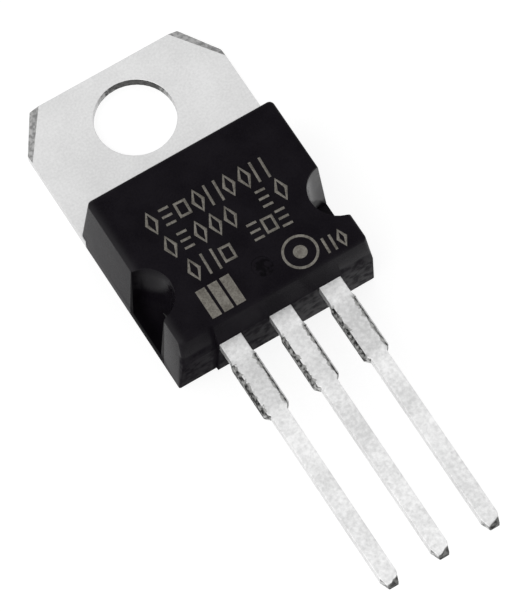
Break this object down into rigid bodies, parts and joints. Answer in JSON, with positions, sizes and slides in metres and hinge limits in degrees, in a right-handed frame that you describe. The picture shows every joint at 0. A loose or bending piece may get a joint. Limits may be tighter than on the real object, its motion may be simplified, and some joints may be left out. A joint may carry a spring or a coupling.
{
  "type": "voltage regulator",
  "caption": "Three-lead linear voltage regulator: black moulded body on a thin tinned tab with a mounting hole, straight leads.",
  "frame": {"origin": "centre of the tab hole, on the back face of the tab", "axes": "+X across the tab, +Y along the part towards the free end of the tab (the leads point to -Y), +Z out of the moulding's front face; the part lies on its back"},
  "size_m": [0.0102, 0.0289, 0.0044],
  "materials": {
    "moulding": "fine matt moulding compound",
    "tinned_copper": "matt tin plating on copper",
    "silicon": "polished silicon",
    "solder": "solder",
    "bond_wire": "drawn aluminium wire"
  },
  "bodies": {
    "root": {"epoxy_body": "moulding", "tab_frame": "tinned_copper", "input_lead": "tinned_copper", "output_lead": "tinned_copper", "silicon_die": "silicon", "die_solder": "solder", "input_bond_wire": "bond_wire", "output_bond_wire": "bond_wire", "output_sense_bond_wire": "bond_wire", "ground_bond_wire": "bond_wire"}
  },
  "joints": []
}
